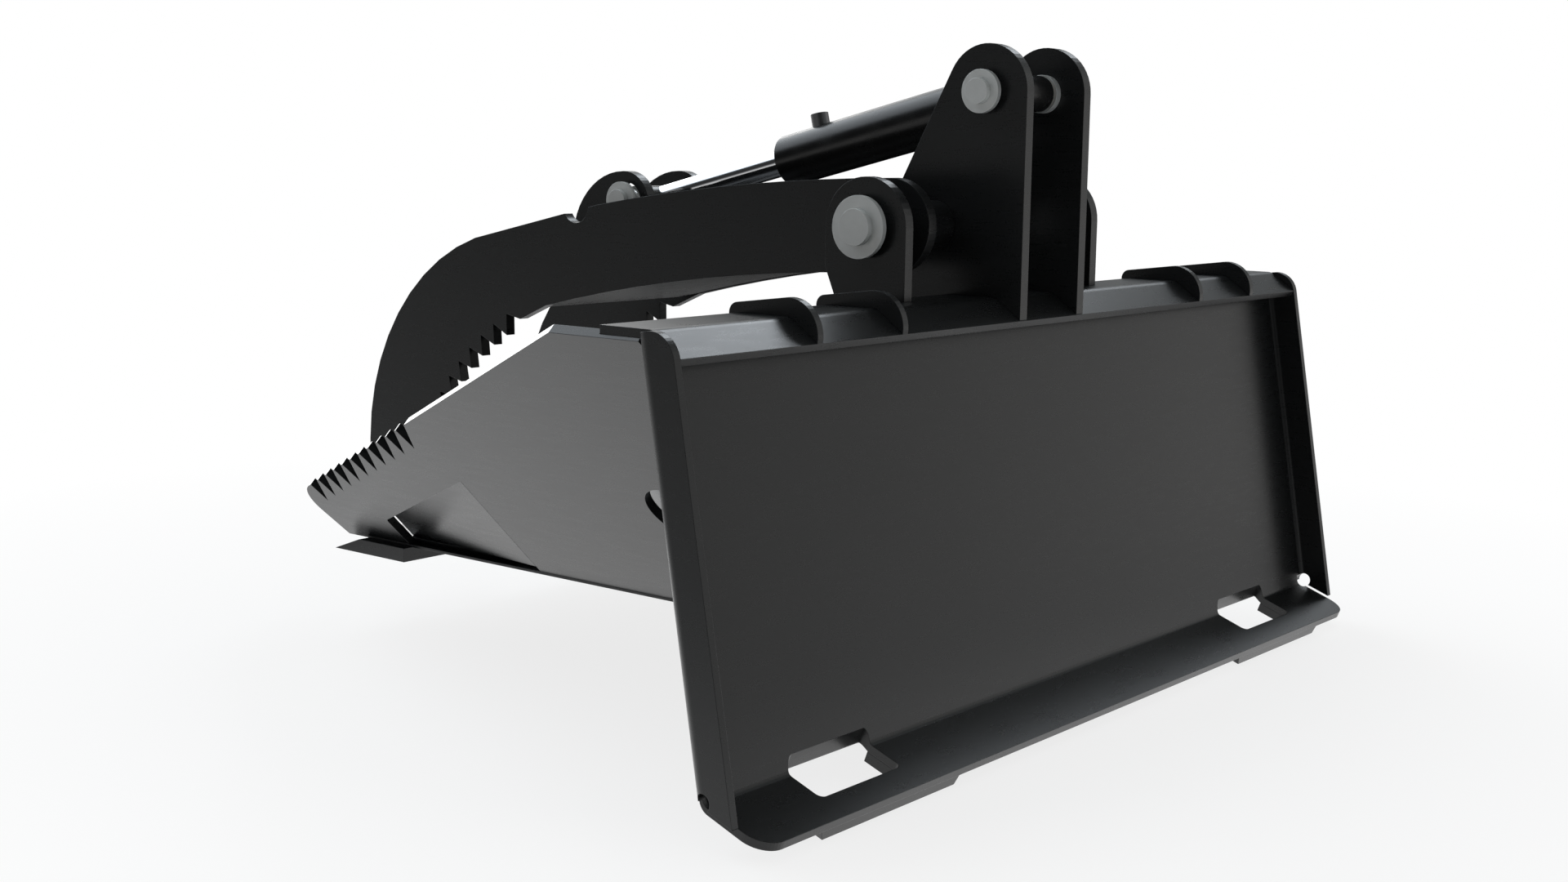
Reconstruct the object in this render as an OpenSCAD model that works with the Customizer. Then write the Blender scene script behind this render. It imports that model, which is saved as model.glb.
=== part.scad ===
// Stump bucket with a hydraulic grapple arm, for the universal quick attach plate of a skid steer loader.
// X points right as seen from the loader, Y points away from the loader, Z points up.
// The origin is the middle of the hook's upper rear edge, which hangs on the loader's plate.

/* [Quick attach plate] */
// Clear width between the two side flanges
attach_w = 1124; // [1090:1:1140]
// Thickness of the quick attach plate, hook and ribs
attach_t = 8; // [6:0.5:10]
// Lean of the quick attach plate from upright
attach_lean = 10; // [6:0.5:14]
// Depth of the side flanges behind the plate
flange_depth = 33; // [28:1:40]
// Radius of the flange's top rear corner
flange_corner_r = 26; // [15:1:30]
// Inside radius of the bends
bend_r = 6; // [4:1:8]
// Height of the plate from the hook's edge to the lip's rear edge
attach_h = 395; // [380:1:410]
// Horizontal reach of the sloping hook face
hook_reach = 31; // [26:1:36]
// Steepness of the hook face against the plate's square
hook_angle = 45; // [42:1:48]
// Gap between the hook and each side flange
hook_side_gap = 0.5; // [0.2:0.1:2]
// Depth of the level top plate from the hook's edge
top_plate_depth = 90; // [80:1:95]

/* [Latch lip] */
// Slope of the lip below the plate
lip_angle = 30; // [25:1:35]
// Distance of the lip's rear edge behind the hook's edge
lip_overhang = 24; // [15:1:30]
// Half width of the lip
lip_half_w = 560; // [540:1:562]
// Radius of the lip's rear corners
lip_corner_r = 25; // [10:1:40]
// Distance of the latch slot's inner end from the middle
slot_inner_x = 338; // [320:1:350]
// Length of each latch slot
slot_len = 116; // [100:1:130]
// Distance of the latch slot from the lip's rear edge
slot_edge = 28; // [20:1:32]
// Width of each latch slot
slot_w = 46; // [36:1:50]
// Corner radius of each latch slot
slot_r = 7; // [3:1:12]
// Thickness of the doubler under each slot
pad_t = 10; // [6:0.5:12]
// Length of doubler beyond the slot's outer end
pad_outer_margin = 28; // [15:1:40]
// Length of doubler beyond the slot's inner end
pad_inner_margin = 60; // [15:1:70]
// Chamfer of the doubler's ends
pad_chamfer = 5; // [2:1:6]
// Distance of the doubler from the lip's rear edge
pad_rear = 1; // [0.5:0.5:10]

/* [Hook ribs] */
// Radius of the hook ribs' rear edge
rib_rear_r = 33.3; // [31:0.1:36]
// Slope of the hook ribs' top edge
rib_top_slope = 7.4; // [4:0.2:10]
// Radius of the hook ribs' front corner
rib_front_r = 10; // [4:1:12]
// Reach of the hook ribs past the top plate's front edge
rib_front_reach = 11; // [2:1:16]
// Left faces of the four hook ribs
rib_x = [-385.7, -259.7, 315.1, 441.3];

/* [Masts] */
// Thickness of masts, pivot lugs, arm plates and rod lugs
lug_t = 12.7; // [10:0.1:16]
// Clear gap between the two masts
mast_gap = 95.2; // [85:0.1:105]
// Radius of the masts' top round the cylinder's base pin
mast_r = 47; // [40:0.5:48]
// Steepness of the masts' front edge
mast_front_angle = 62; // [58:0.5:66]
// Length of the weld seam of masts and lugs below the top plate
mast_foot_drop = 150; // [120:5:180]

/* [Pivots] */
// Distance of the arm pivot in front of the hook's edge
pivot_y = 105.5; // [102:0.5:110]
// Height of the arm pivot above the hook's edge
pivot_z = 92; // [88:1:98]
// Distance of the cylinder's base pin in front of the hook's edge
base_pin_y = 48; // [47.5:0.5:52]
// Height of the cylinder's base pin above the hook's edge
base_pin_z = 224.5; // [218:0.5:228]
// Distance of the cylinder's rod pin in front of the hook's edge
rod_pin_y = 542; // [534:1:550]
// Height of the cylinder's rod pin above the hook's edge
rod_pin_z = 102.8; // [98:0.1:108]
// Diameter of the arm pivot pins
pivot_pin_d = 36; // [30:0.5:38]
// Diameter of the cylinder pins
cyl_pin_d = 25.4; // [22:0.1:28]
// Diameter of the washers on the arm pivot pins
pivot_washer_d = 61.5; // [54:0.5:66]
// Diameter of the washers on the cylinder pins
cyl_washer_d = 43; // [42:0.5:50]
// Thickness of the washers
washer_t = 5.5; // [3:0.5:7]
// Distance of the washers from the plates beside them
washer_gap = 7; // [1:0.5:8]
// How far the pins stand out of their washers
pin_reach = 6.5; // [3:0.5:10]
// Radial room between a running pin and its bush
run_gap = 0.05; // [0.02:0.01:0.1]
// Side gap between parts that turn against each other
side_gap = 0.7; // [0.4:0.1:1.2]
// Radial room that the rod lugs leave round the rod pin
rod_pin_room = 7.8; // [7.7:0.1:8.2]

/* [Pivot lugs] */
// Distance between the outer faces of the two pivot lugs
lug_span = 358.6; // [350:0.2:366]
// Radius of the pivot lugs' top round the arm pivot
lug_r = 48.5; // [44:0.5:52]
// Height of the waist where the pivot lugs' front edge starts to slope
lug_waist_z = 52; // [44:1:60]
// Depth of the pivot lugs at the height of the top plate
lug_foot_y = 141; // [130:1:150]

/* [Bucket] */
// Thickness of the side plates and the floor
side_t = 9.5; // [8:0.1:12]
// Half width of the bucket at the height of the hook's edge, outside
side_half_w = 553.3; // [545:0.1:560]
// Depth of the floor's underside below the hook's edge
floor_depth = 293; // [280:1:305]
// Distance of the floor's front edge in front of the hook's edge
floor_front_y = 758; // [740:1:770]
// Length of the side plates' level top edge, from the hook's edge
side_level_y = 147; // [130:1:165]
// Height of the level top edge up the side plate
side_level_v = 16; // [10:1:18]
// Angle of the side plates' long sloping edge
side_slope = 27.8; // [26:0.1:29]
// Distance of the side plates' nose in front of the hook's edge
side_nose_y = 814; // [805:1:825]
// Angle of the side plates' front edge from upright
side_nose_angle = 13; // [8:0.5:18]
// Radius of the side plates' nose
side_nose_r = 45; // [30:1:55]
// Radius of the hole beside the quick attach plate
side_hole_r = 40; // [30:1:45]
// Distance of that hole in front of the hook's edge
side_hole_y = 160; // [140:1:180]
// Distance of that hole down the side plate
side_hole_v = 245; // [225:1:265]
// Height of the floor's edge that shows below the side plates
floor_lip = 3; // [2:0.5:5]

/* [Side teeth] */
// Number of notches in each side plate
notch_count = 11; // [6:1:11]
// Pitch of the notches
notch_pitch = 30.65; // [28:0.05:30.7]
// Mouth of each notch
notch_mouth = 25.8; // [20:0.1:27]
// Depth of each notch
notch_depth = 28; // [18:1:32]
// How far each notch's root lies forward of its rear corner
notch_rake = 35.2; // [28:0.2:38]
// Place of the first notch on the sloping edge, in front of the hook's edge
notch_start_y = 482.9; // [475:0.1:490]

/* [Cutting edge] */
// Thickness of the cutting edge
blade_t = 16; // [12:0.5:20]
// Width of the cutting edge
blade_w = 550; // [530:1:560]
// Distance of the cutting edge's rear in front of the hook's edge
blade_rear_y = 681; // [665:1:700]
// Distance of the cutting edge's tip in front of the hook's edge
blade_tip_y = 804; // [795:1:815]
// Length of the cutting edge's bevel
blade_bevel = 44; // [30:1:46]

/* [Corner panels] */
// Distance of the window's front edge in front of the hook's edge
window_front_y = 685; // [670:1:695]
// Distance of the window's rear top corner in front of the hook's edge
window_rear_y = 470; // [455:1:485]
// Height of the window's front edge up the side plate
window_h = 50; // [40:1:55]
// Thickness of the corner panels
panel_t = 6; // [5:0.5:8]
// How far the corner panels' front edge lies inside the side plates' outer face
panel_inset = 15; // [12:0.5:18]
// Reach of the corner panels under the side plates past the window's front edge
panel_front_reach = 12; // [5:1:16]

/* [Grapple arm] */
// Distance between the outer faces of the two arm plates
arm_span = 276; // [270:0.5:282]
// Radius of the arm's end round the pivot
arm_end_r = 47; // [42:1:48]
// Radius of the arm's outer curve
arm_curve_r = 278.5; // [270:0.5:290]
// Distance of the outer curve's centre in front of the arm pivot
arm_curve_y = 521; // [515:1:530]
// Depth of the outer curve's centre below the arm pivot
arm_curve_drop = 303; // [300:1:310]
// Outside diameter of the hub tubes
hub_d = 48; // [46:0.5:56]
// Wall of the bushes in the hub tubes
bush_t = 3; // [2.5:0.5:3.5]
// Thickness of the cross plate between the arm plates
cross_t = 9.5; // [8:0.1:12]
// Number of teeth on each arm plate
arm_teeth = 7; // [4:1:8]
// Pitch of the arm's teeth
arm_tooth_pitch = 26.1; // [24:0.1:26.3]
// Height of the arm's teeth
arm_tooth_h = 25; // [18:1:28]
// Radius of the gap in the arm's top edge beside the rod pin
arm_gap_r = 20; // [16:1:21]

/* [Rod lugs] */
// Clear gap between the two rod lugs
rod_lug_gap = 82; // [80:1:90]
// Radius of the rod lugs' rear end
rod_lug_r = 38.5; // [37:0.5:40]
// Radius of the rod lugs' front curve
rod_lug_front_r = 83; // [80:1:86]

/* [Cylinder] */
// Outside diameter of the barrel
barrel_d = 56; // [54:0.5:58]
// Wall of the barrel
barrel_wall = 5.75; // [5:0.25:6]
// Distance from the base pin to the barrel's rod end
barrel_end = 305; // [303:1:312]
// Outside diameter of the cross tube on the base pin
eye_d = 36.6; // [36:0.2:42]
// Half length of the cross tubes on the pins
eye_half_len = 35.5; // [33:0.5:37]
// Outside diameter of the cross tube on the rod pin
rod_eye_d = 33; // [32:0.5:36]
// Thickness of the spacer rings beside the base pin's cross tube
spacer_t = 8; // [6:0.5:10]
// Length of the solid base end behind the barrel's bore
base_cap_end = 46; // [40:1:48]
// Diameter of the piston rod
rod_d = 29; // [26:0.5:30]
// Length of the gland in the barrel's rod end
gland_len = 37; // [32:1:37]
// Length of the piston
piston_len = 24; // [20:1:30]
// Outside diameter of the port bosses
port_d = 19.8; // [17:0.2:20]
// Height of the port bosses above the barrel
port_h = 12.7; // [12:0.1:18]
// Diameter of the threaded hole in each port boss
port_bore_d = 11; // [9:0.2:12]
// Distance from the base pin to the rod-end port
port_rod_y = 254.6; // [250:0.2:257]
// Distance from the base pin to the base-end port
port_base_y = 58; // [57:1:70]

/* [Hidden] */
$fn = 72;

paint = [0.125, 0.13, 0.13];
zinc = [0.55, 0.55, 0.54];
bare_steel = [0.6, 0.6, 0.6];
chrome = [0.8, 0.8, 0.82];
barrel_paint = [0.05, 0.05, 0.05];
bronze = [0.7, 0.5, 0.25];
seal_black = [0.06, 0.06, 0.06];

// Angle that one facet of a rounded corner may turn
facet_turn = 7.5;
// Longest facet of a curved edge
facet_len = 50;
// Overshoot of cutting tools past the faces they cut
over = 1;

flange_in_x = attach_w / 2;
flange_out_x = flange_in_x + attach_t;
plate_front = flange_depth + attach_t;
hook_slope = hook_angle - attach_lean;
top_z = hook_reach * tan(hook_slope);
top_under_z = top_z - attach_t;
mast_in_x = mast_gap / 2;
mast_out_x = mast_in_x + lug_t;
lug_out_x = lug_span / 2;
lug_in_x = lug_out_x - lug_t;
arm_out_x = arm_span / 2;
arm_in_x = arm_out_x - lug_t;
rod_lug_in_x = rod_lug_gap / 2;
rod_lug_out_x = rod_lug_in_x + lug_t;
pivot = [pivot_y, pivot_z];
base_pin_at = [base_pin_y, base_pin_z];
rod_pin_at = [rod_pin_y, rod_pin_z];
cyl_line = rod_pin_at - base_pin_at;
cyl_angle = atan2(cyl_line.y, cyl_line.x);
cyl_len = norm(cyl_line);

// Distance of the quick attach plate's front face in front of the hook's edge at height z
function front_face(z) = plate_front / cos(attach_lean) + z * tan(attach_lean);

// Points of an arc about m from angle a0 to angle a1
function arc(m, r, a0, a1) =
    let (by_length = r * abs(a1 - a0) * PI / 180 / facet_len)
    let (n = max(2, ceil(abs(a1 - a0) / facet_turn), ceil(by_length)))
    [for (i = [0:n]) m + r * [cos(a0 + (a1 - a0) * i / n), sin(a0 + (a1 - a0) * i / n)]];

// Corner b between a and c, rounded with radius r
function round_corner(a, b, c, r) =
    let (u = (a - b) / norm(a - b))
    let (v = (c - b) / norm(c - b))
    let (half = acos(u * v) / 2)
    let (m = b + (u + v) / norm(u + v) * r / sin(half))
    let (start = b + u * r / tan(half) - m)
    let (a0 = atan2(start.y, start.x))
    let (turn = (180 - 2 * half) * sign(u.y * v.x - u.x * v.y))
    arc(m, r, a0, a0 + turn);

// Outline whose points are [y, z] or [y, z, corner radius]
function outline(pts) =
    let (n = len(pts))
    [for (i = [0:n - 1])
        let (a = pts[(i + n - 1) % n])
        let (b = pts[i])
        let (c = pts[(i + 1) % n])
        each len(b) < 3
            ? [b]
            : round_corner([a.x, a.y], [b.x, b.y], [c.x, c.y], b[2])];

// Flat plate across X, from x0 to x1, with an outline in Y and Z
module plate_x(x0, x1, pts) {
    translate([x0, 0, 0])
        rotate([90, 0, 90])
            linear_extrude(x1 - x0)
                polygon(pts);
}

// Round bar or hole along X about a point in Y and Z
module bar_x(x0, x1, at, d) {
    translate([x0, at.x, at.y])
        rotate([0, 90, 0])
            cylinder(h = x1 - x0, d = d);
}

// Ring along X about a point in Y and Z
module ring_x(x0, x1, at, d_out, d_in) {
    difference() {
        bar_x(x0, x1, at, d_out);
        bar_x(x0 - over, x1 + over, at, d_in);
    }
}

// The same piece on the other side of the middle plane
module on_side(side) {
    mirror([side < 0 ? 1 : 0, 0, 0])
        children();
}

// Frame of the quick attach plate, which leans back at its foot
module attach_frame() {
    rotate([-attach_lean, 0, 0])
        children();
}

// Frame of the latch lip, with its origin at the middle of the upper rear edge
module lip_frame() {
    attach_frame()
        translate([0, -lip_overhang, -attach_h])
            rotate([lip_angle, 0, 0])
                children();
}

// Main plate, side flanges and lip: one plate, bent on three sides
lip_bend_z = -attach_h + (flange_depth + lip_overhang) * tan(lip_angle);
lip_len = (flange_depth + lip_overhang) / cos(lip_angle);
bend_start = lip_len - 16;
relief_r = 8;
flange_lip_gap = 2;

module channel_outline() {
    outer_r = bend_r + attach_t;
    polygon(outline([
        [-flange_out_x, 0],
        [-flange_out_x, plate_front, outer_r],
        [flange_out_x, plate_front, outer_r],
        [flange_out_x, 0],
        [flange_in_x, 0],
        [flange_in_x, flange_depth, bend_r],
        [-flange_in_x, flange_depth, bend_r],
        [-flange_in_x, 0]
    ]));
}

module channel_side_outline() {
    foot = -attach_h + lip_overhang * tan(lip_angle) + flange_lip_gap;
    plate_x(-flange_out_x - over, flange_out_x + over, outline([
        [0, foot],
        [0, flange_corner_r, flange_corner_r],
        [plate_front + over, flange_corner_r],
        [plate_front + over, foot + (plate_front + over) * tan(lip_angle)]
    ]));
}

module channel() {
    intersection() {
        translate([0, 0, -attach_h])
            linear_extrude(attach_h + flange_corner_r)
                channel_outline();
        channel_side_outline();
    }
}

module lip_bend() {
    down = [cos(lip_angle), sin(lip_angle)];
    square_off = [sin(lip_angle), -cos(lip_angle)];
    edge = [-lip_overhang, -attach_h];
    top_cut = edge + down * bend_start;
    under_cut = top_cut + square_off * attach_t;
    web_top = lip_bend_z + 30;
    under_z = lip_bend_z + attach_t * tan(lip_angle) - attach_t / cos(lip_angle);
    plate_x(-lip_half_w, lip_half_w, outline([
        [flange_depth, web_top],
        [plate_front, web_top],
        [plate_front, under_z, bend_r + attach_t],
        under_cut,
        top_cut,
        [flange_depth, lip_bend_z, bend_r]
    ]));
}

module lip_slab() {
    lip_frame()
        translate([0, 0, -attach_t])
            linear_extrude(attach_t)
                polygon(outline([
                    [-lip_half_w, 0, lip_corner_r],
                    [lip_half_w, 0, lip_corner_r],
                    [lip_half_w, bend_start + over],
                    [-lip_half_w, bend_start + over]
                ]));
}

module latch_slot(side) {
    lip_frame()
        on_side(side)
            translate([0, 0, -2 * attach_t - pad_t])
                linear_extrude(4 * attach_t + pad_t)
                    polygon(outline([
                        [slot_inner_x, slot_edge, slot_r],
                        [slot_inner_x + slot_len, slot_edge, slot_r],
                        [slot_inner_x + slot_len, slot_edge + slot_w, slot_r],
                        [slot_inner_x, slot_edge + slot_w, slot_r]
                    ]));
}

module back_plate() {
    color(paint)
        difference() {
            union() {
                attach_frame()
                    channel();
                attach_frame()
                    lip_bend();
                lip_slab();
            }
            for (side = [-1, 1]) {
                latch_slot(side);
                attach_frame()
                    on_side(side)
                        bar_x(lip_half_w - relief_r, flange_out_x + over,
                            [flange_depth - relief_r / 2, lip_bend_z + relief_r / 2], 2 * relief_r);
            }
            hook_body(flange_in_x);
            above_hook();
        }
}

// Hook: sloping face that hangs on the loader's plate, bent into the level top plate
module hook_body(half_w) {
    square_off = attach_t * [sin(hook_slope), -cos(hook_slope)];
    bend_under_y = square_off.x + (top_under_z - square_off.y) / tan(hook_slope);
    plate_x(-half_w, half_w, outline([
        [0, 0],
        [hook_reach, top_z, bend_r + attach_t],
        [top_plate_depth, top_z],
        [top_plate_depth, top_under_z],
        [bend_under_y, top_under_z, bend_r],
        square_off
    ]));
}

// Room above the top plate, where the quick attach plate ends
module above_hook() {
    plate_x(-flange_in_x, flange_in_x, [
        [hook_reach, top_z - over],
        [top_plate_depth, top_z - over],
        [top_plate_depth, top_z + 2 * attach_t],
        [hook_reach, top_z + 2 * attach_t]
    ]);
}

module hook_plate() {
    color(paint)
        hook_body(flange_in_x - hook_side_gap);
}

// Doubler under a latch slot, with chamfered ends
module slot_pad(side) {
    pad_in = slot_inner_x - pad_inner_margin;
    pad_out = slot_inner_x + slot_len + pad_outer_margin;
    color(paint)
        difference() {
            lip_frame()
                on_side(side)
                    translate([0, pad_rear, -attach_t])
                        rotate([-90, 0, 0])
                            linear_extrude(lip_len - pad_rear)
                                polygon([
                                    [pad_in, 0],
                                    [pad_out, 0],
                                    [pad_out - pad_chamfer, pad_t],
                                    [pad_in + pad_chamfer, pad_t]
                                ]);
            latch_slot(side);
        }
}

// Rib that stiffens the hook, on its sloping face and round the top plate's edge
module hook_rib(i) {
    rear_turn = 189;
    top_turn = 90 - rib_top_slope;
    centre = -rib_rear_r * [cos(rear_turn), sin(rear_turn)];
    top_rear = centre + rib_rear_r * [cos(top_turn), sin(top_turn)];
    front_y = top_plate_depth + rib_front_reach;
    front_top_z = top_rear.y - (front_y - top_rear.x) * tan(rib_top_slope);
    color(paint)
        plate_x(rib_x[i], rib_x[i] + attach_t, concat(
            arc(centre, rib_rear_r, rear_turn, top_turn),
            round_corner(top_rear, [front_y, front_top_z], [front_y, top_under_z], rib_front_r),
            [
                [front_y, top_under_z],
                [top_plate_depth, top_under_z],
                [top_plate_depth, top_z],
                [hook_reach, top_z]
            ]
        ));
}

// Outline points along the front of the quick attach plate and round the top plate's edge
function foot_seam(drop) = [
    [front_face(-drop), -drop],
    [front_face(top_under_z), top_under_z],
    [top_plate_depth, top_under_z],
    [top_plate_depth, top_z]
];

// Mast that carries the cylinder's base pin
module mast_plate(side) {
    rear_y = base_pin_y - mast_r;
    toe_z = top_z - 45;
    toe_run = (base_pin_z + mast_r * cos(mast_front_angle) - toe_z) / tan(mast_front_angle);
    toe_r = 20;
    color(paint)
        on_side(side)
            difference() {
                plate_x(mast_in_x, mast_out_x, outline(concat(
                    [[rear_y, rear_y * tan(hook_slope)]],
                    arc(base_pin_at, mast_r, 180, 90 - mast_front_angle),
                    [[base_pin_y + mast_r * sin(mast_front_angle) + toe_run, toe_z, toe_r]],
                    foot_seam(mast_foot_drop),
                    [[hook_reach, top_z]]
                )));
                bar_x(mast_in_x - over, mast_out_x + over, base_pin_at, cyl_pin_d);
                bar_x(mast_in_x - over, mast_out_x + over, pivot, pivot_pin_d);
            }
}

// Outer lug of the arm pivot
module pivot_lug(side) {
    waist_r = 12;
    toe_drop = 40;
    toe_r = 12;
    front_y = pivot_y + lug_r;
    toe_run = (front_y - lug_foot_y) / (lug_waist_z - top_z);
    lug_foot_drop = mast_foot_drop - 40;
    color(paint)
        on_side(side)
            difference() {
                plate_x(lug_in_x, lug_out_x, outline(concat(
                    [[pivot_y - lug_r, top_z]],
                    arc(pivot, lug_r, 180, 0),
                    [
                        [front_y, lug_waist_z, waist_r],
                        [lug_foot_y - toe_drop * toe_run, top_z - toe_drop, toe_r]
                    ],
                    foot_seam(lug_foot_drop)
                )));
                bar_x(lug_in_x - over, lug_out_x + over, pivot, pivot_pin_d);
            }
}

// Frame of a side plate: X outwards through the plate, Y forward, Z up along the plate
side_lean = 45;
side_reach = 40;
module side_frame(side) {
    on_side(side)
        translate([side_half_w, 0, 0])
            rotate([0, side_lean, 0])
                children();
}

// Distance of a side plate's inner face from the middle at height z
function side_inner_x(z) = side_half_w + z * tan(side_lean) - side_t / cos(side_lean);

// Point on the sloping edge at a row position y
function slope_point(y) = [y, side_level_v - (y - side_level_y) * tan(side_slope)];

// Everything that lies behind the front of the quick attach plate
module behind_plate() {
    attach_frame()
        translate([-side_half_w - side_reach, plate_front - attach_h, -2 * attach_h])
            cube([2 * (side_half_w + side_reach), attach_h, 3 * attach_h]);
}

// Everything below height z, as far forward as front_y
module below(z, front_y) {
    translate([-side_half_w, -attach_h, z - attach_h])
        cube([2 * side_half_w, front_y + attach_h, attach_h]);
}

along = [cos(side_slope), -sin(side_slope)];
into = [-sin(side_slope), -cos(side_slope)];
side_foot_w = -(floor_depth / cos(side_lean) + side_t * tan(side_lean) + over);
window_top_w = window_h - floor_depth / cos(side_lean);
window_corner_r = 6;

// Window in the lower front of a side plate, which the corner panel fills
function window_outline(rear_y, front_y, low) =
    let (front_top_w = window_top_w + (window_front_y - front_y) * tan(side_slope))
    [
        [rear_y, low],
        [rear_y, front_top_w + (front_y - rear_y) * tan(side_slope)],
        [front_y, front_top_w, window_corner_r],
        [front_y, low]
    ];

module side_notches() {
    first = slope_point(notch_start_y);
    reach = 1 + over / notch_depth;
    for (i = [0:notch_count - 1]) {
        rear = first + along * notch_pitch * i;
        root = rear + along * notch_rake + into * notch_depth;
        front = rear + along * notch_mouth;
        plate_x(-side_t - over, over, [
            root + (rear - root) * reach,
            root,
            root + (front - root) * reach
        ]);
    }
}

module side_plate(side) {
    nose = slope_point(side_nose_y);
    foot_run = (nose[1] - side_foot_w) * tan(side_nose_angle);
    color(paint)
        difference() {
            side_frame(side)
                difference() {
                    plate_x(-side_t, 0, outline([
                        [-side_reach, side_level_v],
                        [side_level_y, side_level_v],
                        [nose.x, nose.y, side_nose_r],
                        [nose.x - foot_run, side_foot_w],
                        [-side_reach, side_foot_w]
                    ]));
                    side_notches();
                    plate_x(-side_t - over, over,
                        outline(window_outline(window_rear_y, window_front_y, side_foot_w - over)));
                    bar_x(-side_t - over, over, [side_hole_y, -side_hole_v], 2 * side_hole_r);
                }
            behind_plate();
            hook_body(flange_in_x);
            below(-floor_depth, side_nose_y + attach_h);
            below(floor_lip - floor_depth, floor_front_y);
        }
}

// Panel in the window of a side plate, flush at its rear edge and under the plate at its front
module corner_panel(side) {
    rear_gap = 0.5;
    tilt = asin(panel_inset / (window_front_y - window_rear_y));
    color(paint)
        difference() {
            side_frame(side)
                translate([0, window_rear_y, 0])
                    rotate([0, 0, tilt])
                        translate([0, -window_rear_y, 0])
                            plate_x(-panel_t, 0, outline(window_outline(
                                window_rear_y + rear_gap, window_front_y + panel_front_reach, side_foot_w)));
            below(side_t - floor_depth, floor_front_y);
        }
}

module floor_plate() {
    top = side_t - floor_depth;
    lip_z = floor_lip - floor_depth;
    edge_x = side_half_w + lip_z * tan(side_lean);
    color(paint)
        difference() {
            translate([0, floor_front_y, 0])
                rotate([90, 0, 0])
                    linear_extrude(floor_front_y + side_reach)
                        polygon([
                            [-edge_x, -floor_depth],
                            [edge_x, -floor_depth],
                            [edge_x, lip_z],
                            [side_inner_x(lip_z), lip_z],
                            [side_inner_x(top), top],
                            [-side_inner_x(top), top],
                            [-side_inner_x(lip_z), lip_z],
                            [-edge_x, lip_z]
                        ]);
            behind_plate();
        }
}

module cutting_edge() {
    color(paint)
        plate_x(-blade_w / 2, blade_w / 2, [
            [blade_rear_y, -floor_depth - blade_t],
            [blade_rear_y, -floor_depth],
            [blade_tip_y - blade_bevel, -floor_depth],
            [blade_tip_y, -floor_depth - blade_t]
        ]);
}

// Distance from the plates' faces to the pins' ends
pin_end = washer_gap + washer_t + pin_reach;

// Pins of the arm pivot, each from its lug through the arm's hub into the mast
module arm_pivot_pins() {
    color(zinc)
        for (side = [-1, 1])
            on_side(side)
                bar_x(mast_in_x, lug_out_x + pin_end, pivot, pivot_pin_d);
}

// Washer pressed on a pin's end, beside a plate whose face is at x
module end_washer(x, at, d_out, d_in) {
    ring_x(x + washer_gap, x + washer_gap + washer_t, at, d_out, d_in);
}

module pivot_pin_washers() {
    color(zinc)
        for (side = [-1, 1])
            on_side(side)
                end_washer(lug_out_x, pivot, pivot_washer_d, pivot_pin_d);
}

module base_pin() {
    color(zinc)
        bar_x(-mast_out_x - pin_end, mast_out_x + pin_end, base_pin_at, cyl_pin_d);
}

module base_pin_washers() {
    color(zinc)
        for (side = [-1, 1])
            on_side(side)
                end_washer(mast_out_x, base_pin_at, cyl_washer_d, cyl_pin_d);
}

// Curved edges of the arm, as circles whose centres lie below it
arm_top_r = 2823;
arm_top_slope = 1.4;
arm_low_r = 2232;
arm_low_slope = 1;
arm_low_end = 484;
arm_top_centre = pivot + [0, arm_end_r] - arm_top_r * [sin(arm_top_slope), cos(arm_top_slope)];
arm_low_centre = pivot - [0, arm_end_r] - arm_low_r * [sin(arm_low_slope), cos(arm_low_slope)];
arm_curve_centre = pivot + [arm_curve_y, -arm_curve_drop];

// Angle about the lower edge's centre of the point at row position y
function low_turn(y) = acos((y - arm_low_centre.x) / arm_low_r);

// Gullets of the arm's teeth lie on a circle, and each tooth drops from its gullet
tooth_curve_r = 337;
tooth_first_turn = 62.4;
tooth_centre = pivot + [393.6, -421.4];
tooth_step = 2 * asin(arm_tooth_pitch / 2 / tooth_curve_r);
tooth_lean = 2.6;
function gullet(k) =
    let (a = tooth_first_turn - tooth_step * k)
    tooth_centre + tooth_curve_r * [cos(a), sin(a)];
function tooth_tip(k) =
    let (a = -91 - tooth_lean * k)
    gullet(k) + arm_tooth_h * [cos(a), sin(a)];

module arm_plate(side) {
    heel = pivot + [527, -127.3];
    top_end_turn = 9.6;
    curve_start = 73;
    curve_end = -13;
    tip_w = 16;
    arm_gap_drop = 4;
    tip = arm_curve_centre + arm_curve_r * [cos(curve_end), sin(curve_end)] - [tip_w, 2];
    color(paint)
        on_side(side)
            difference() {
                plate_x(arm_in_x, arm_out_x, concat(
                    arc(pivot, arm_end_r, 270, 90),
                    arc(arm_top_centre, arm_top_r, 90 - arm_top_slope, 90 - top_end_turn),
                    arc(arm_curve_centre, arm_curve_r, curve_start, curve_end),
                    [tip],
                    [for (k = [arm_teeth:-1:1]) each [gullet(k), tooth_tip(k - 1)]],
                    [gullet(0), heel],
                    arc(arm_low_centre, arm_low_r, low_turn(pivot_y + arm_low_end), 90 - arm_low_slope)
                ));
                bar_x(arm_in_x - over, arm_out_x + over, pivot, hub_d);
                bar_x(arm_in_x - over, arm_out_x + over, rod_pin_at - [0, arm_gap_drop], 2 * arm_gap_r);
            }
}

module arm_hub(side) {
    color(paint)
        on_side(side)
            ring_x(mast_out_x + side_gap, lug_in_x - side_gap, pivot, hub_d, pivot_pin_d + 2 * (run_gap + bush_t));
}

module arm_bushes() {
    color(bronze)
        for (side = [-1, 1])
            on_side(side)
                ring_x(mast_out_x + side_gap, lug_in_x - side_gap, pivot,
                    pivot_pin_d + 2 * (run_gap + bush_t), pivot_pin_d + 2 * run_gap);
}

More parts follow.
